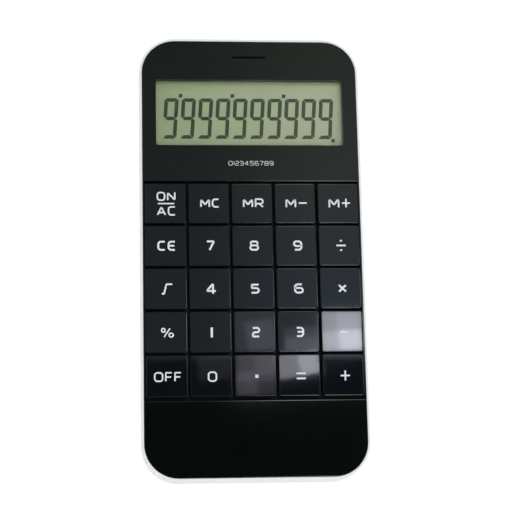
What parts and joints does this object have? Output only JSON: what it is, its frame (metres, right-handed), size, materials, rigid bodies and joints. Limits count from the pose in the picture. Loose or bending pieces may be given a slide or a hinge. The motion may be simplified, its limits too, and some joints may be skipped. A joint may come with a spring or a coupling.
{
  "type": "pocket calculator",
  "caption": "Slim phone-shaped calculator with a glossy black face, recessed LCD window, edge-to-edge square press keys, silver side band and a sliding battery door.",
  "frame": {"origin": "centre of the footprint on the back face, on which the calculator lies", "axes": "+Z out of the key face, +Y along the body towards the display, +X to the user's right"},
  "size_m": [0.0596, 0.12, 0.0095],
  "materials": {
    "case_gloss_black": "high-gloss moulded ABS",
    "key_gloss_black": "high-gloss moulded ABS",
    "band_silver": "satin silver lacquer on moulded ABS",
    "back_satin_black": "fine spark-eroded texture on ABS",
    "keypad_silicone": "moulded silicone rubber",
    "carbon_rubber": "matt conductive rubber",
    "board_laminate": "solder-masked laminate",
    "chip_epoxy": "cured epoxy drop",
    "board_ceramic": "ceramic chip parts",
    "window_acrylic": "polished clear acrylic",
    "zebra_rubber": "layered silicone connector",
    "foam_grey": "closed-cell foam",
    "screw_steel": "zinc-plated steel",
    "cell_steel": "nickel-plated steel can",
    "contact_spring_steel": "nickel-plated spring steel",
    "lcd_polarizer": "polarizing film",
    "lcd_glass": "polished soda-lime glass",
    "lcd_reflector": "grey-green reflective film",
    "legend_ink": "pad-printed white ink",
    "lcd_segment": "dark liquid crystal segments"
  },
  "bodies": {
    "case": {"front_case": "case_gloss_black", "side_band": "band_silver", "back_cover": "back_satin_black", "keypad_mat": "keypad_silicone", "carbon_pills": "carbon_rubber", "main_board": "board_laminate", "chip_blob": "chip_epoxy", "board_parts": "board_ceramic", "display_window": "window_acrylic", "zebra_strip": "zebra_rubber", "lcd_foam_strip": "foam_grey", "case_screws": "screw_steel", "board_screws": "screw_steel", "button_cell": "cell_steel", "minus_contact": "contact_spring_steel", "plus_contact": "contact_spring_steel", "lcd_front_polarizer": "lcd_polarizer", "lcd_front_glass": "lcd_glass", "lcd_rear_glass": "lcd_glass", "lcd_rear_reflector": "lcd_reflector"},
    "battery_door": {"battery_door": "back_satin_black"},
    "key_on_clear": {"key_on_clear": "key_gloss_black"},
    "key_memory_clear": {"key_memory_clear": "key_gloss_black"},
    "key_memory_recall": {"key_memory_recall": "key_gloss_black"},
    "key_memory_minus": {"key_memory_minus": "key_gloss_black"},
    "key_memory_plus": {"key_memory_plus": "key_gloss_black"},
    "key_clear_entry": {"key_clear_entry": "key_gloss_black"},
    "key_7": {"key_7": "key_gloss_black"},
    "key_8": {"key_8": "key_gloss_black"},
    "key_9": {"key_9": "key_gloss_black"},
    "key_divide": {"key_divide": "key_gloss_black"},
    "key_root": {"key_root": "key_gloss_black"},
    "key_4": {"key_4": "key_gloss_black"},
    "key_5": {"key_5": "key_gloss_black"},
    "key_6": {"key_6": "key_gloss_black"},
    "key_multiply": {"key_multiply": "key_gloss_black"},
    "key_percent": {"key_percent": "key_gloss_black"},
    "key_1": {"key_1": "key_gloss_black"},
    "key_2": {"key_2": "key_gloss_black"},
    "key_3": {"key_3": "key_gloss_black"},
    "key_minus": {"key_minus": "key_gloss_black"},
    "key_off": {"key_off": "key_gloss_black"},
    "key_0": {"key_0": "key_gloss_black"},
    "key_point": {"key_point": "key_gloss_black"},
    "key_equals": {"key_equals": "key_gloss_black"},
    "key_plus": {"key_plus": "key_gloss_black"}
  },
  "joints": [
    {"name": "battery_door_slide", "type": "slide", "parent": "case", "child": "battery_door", "axis": [0, -1, 0], "range_m": [0, 0.0165]},
    {"name": "key_on_clear_press", "type": "slide", "parent": "case", "child": "key_on_clear", "axis": [0, 0, -1], "range_m": [0, 0.001], "stiffness_N_per_m": 300, "springref_m": -0.0005, "deforming": ["keypad_mat"]},
    {"name": "key_memory_clear_press", "type": "slide", "parent": "case", "child": "key_memory_clear", "axis": [0, 0, -1], "range_m": [0, 0.001], "stiffness_N_per_m": 300, "springref_m": -0.0005, "deforming": ["keypad_mat"]},
    {"name": "key_memory_recall_press", "type": "slide", "parent": "case", "child": "key_memory_recall", "axis": [0, 0, -1], "range_m": [0, 0.001], "stiffness_N_per_m": 300, "springref_m": -0.0005, "deforming": ["keypad_mat"]},
    {"name": "key_memory_minus_press", "type": "slide", "parent": "case", "child": "key_memory_minus", "axis": [0, 0, -1], "range_m": [0, 0.001], "stiffness_N_per_m": 300, "springref_m": -0.0005, "deforming": ["keypad_mat"]},
    {"name": "key_memory_plus_press", "type": "slide", "parent": "case", "child": "key_memory_plus", "axis": [0, 0, -1], "range_m": [0, 0.001], "stiffness_N_per_m": 300, "springref_m": -0.0005, "deforming": ["keypad_mat"]},
    {"name": "key_clear_entry_press", "type": "slide", "parent": "case", "child": "key_clear_entry", "axis": [0, 0, -1], "range_m": [0, 0.001], "stiffness_N_per_m": 300, "springref_m": -0.0005, "deforming": ["keypad_mat"]},
    {"name": "key_7_press", "type": "slide", "parent": "case", "child": "key_7", "axis": [0, 0, -1], "range_m": [0, 0.001], "stiffness_N_per_m": 300, "springref_m": -0.0005, "deforming": ["keypad_mat"]},
    {"name": "key_8_press", "type": "slide", "parent": "case", "child": "key_8", "axis": [0, 0, -1], "range_m": [0, 0.001], "stiffness_N_per_m": 300, "springref_m": -0.0005, "deforming": ["keypad_mat"]},
    {"name": "key_9_press", "type": "slide", "parent": "case", "child": "key_9", "axis": [0, 0, -1], "range_m": [0, 0.001], "stiffness_N_per_m": 300, "springref_m": -0.0005, "deforming": ["keypad_mat"]},
    {"name": "key_divide_press", "type": "slide", "parent": "case", "child": "key_divide", "axis": [0, 0, -1], "range_m": [0, 0.001], "stiffness_N_per_m": 300, "springref_m": -0.0005, "deforming": ["keypad_mat"]},
    {"name": "key_root_press", "type": "slide", "parent": "case", "child": "key_root", "axis": [0, 0, -1], "range_m": [0, 0.001], "stiffness_N_per_m": 300, "springref_m": -0.0005, "deforming": ["keypad_mat"]},
    {"name": "key_4_press", "type": "slide", "parent": "case", "child": "key_4", "axis": [0, 0, -1], "range_m": [0, 0.001], "stiffness_N_per_m": 300, "springref_m": -0.0005, "deforming": ["keypad_mat"]},
    {"name": "key_5_press", "type": "slide", "parent": "case", "child": "key_5", "axis": [0, 0, -1], "range_m": [0, 0.001], "stiffness_N_per_m": 300, "springref_m": -0.0005, "deforming": ["keypad_mat"]},
    {"name": "key_6_press", "type": "slide", "parent": "case", "child": "key_6", "axis": [0, 0, -1], "range_m": [0, 0.001], "stiffness_N_per_m": 300, "springref_m": -0.0005, "deforming": ["keypad_mat"]},
    {"name": "key_multiply_press", "type": "slide", "parent": "case", "child": "key_multiply", "axis": [0, 0, -1], "range_m": [0, 0.001], "stiffness_N_per_m": 300, "springref_m": -0.0005, "deforming": ["keypad_mat"]},
    {"name": "key_percent_press", "type": "slide", "parent": "case", "child": "key_percent", "axis": [0, 0, -1], "range_m": [0, 0.001], "stiffness_N_per_m": 300, "springref_m": -0.0005, "deforming": ["keypad_mat"]},
    {"name": "key_1_press", "type": "slide", "parent": "case", "child": "key_1", "axis": [0, 0, -1], "range_m": [0, 0.001], "stiffness_N_per_m": 300, "springref_m": -0.0005, "deforming": ["keypad_mat"]},
    {"name": "key_2_press", "type": "slide", "parent": "case", "child": "key_2", "axis": [0, 0, -1], "range_m": [0, 0.001], "stiffness_N_per_m": 300, "springref_m": -0.0005, "deforming": ["keypad_mat"]},
    {"name": "key_3_press", "type": "slide", "parent": "case", "child": "key_3", "axis": [0, 0, -1], "range_m": [0, 0.001], "stiffness_N_per_m": 300, "springref_m": -0.0005, "deforming": ["keypad_mat"]},
    {"name": "key_minus_press", "type": "slide", "parent": "case", "child": "key_minus", "axis": [0, 0, -1], "range_m": [0, 0.001], "stiffness_N_per_m": 300, "springref_m": -0.0005, "deforming": ["keypad_mat"]},
    {"name": "key_off_press", "type": "slide", "parent": "case", "child": "key_off", "axis": [0, 0, -1], "range_m": [0, 0.001], "stiffness_N_per_m": 300, "springref_m": -0.0005, "deforming": ["keypad_mat"]},
    {"name": "key_0_press", "type": "slide", "parent": "case", "child": "key_0", "axis": [0, 0, -1], "range_m": [0, 0.001], "stiffness_N_per_m": 300, "springref_m": -0.0005, "deforming": ["keypad_mat"]},
    {"name": "key_point_press", "type": "slide", "parent": "case", "child": "key_point", "axis": [0, 0, -1], "range_m": [0, 0.001], "stiffness_N_per_m": 300, "springref_m": -0.0005, "deforming": ["keypad_mat"]},
    {"name": "key_equals_press", "type": "slide", "parent": "case", "child": "key_equals", "axis": [0, 0, -1], "range_m": [0, 0.001], "stiffness_N_per_m": 300, "springref_m": -0.0005, "deforming": ["keypad_mat"]},
    {"name": "key_plus_press", "type": "slide", "parent": "case", "child": "key_plus", "axis": [0, 0, -1], "range_m": [0, 0.001], "stiffness_N_per_m": 300, "springref_m": -0.0005, "deforming": ["keypad_mat"]}
  ]
}
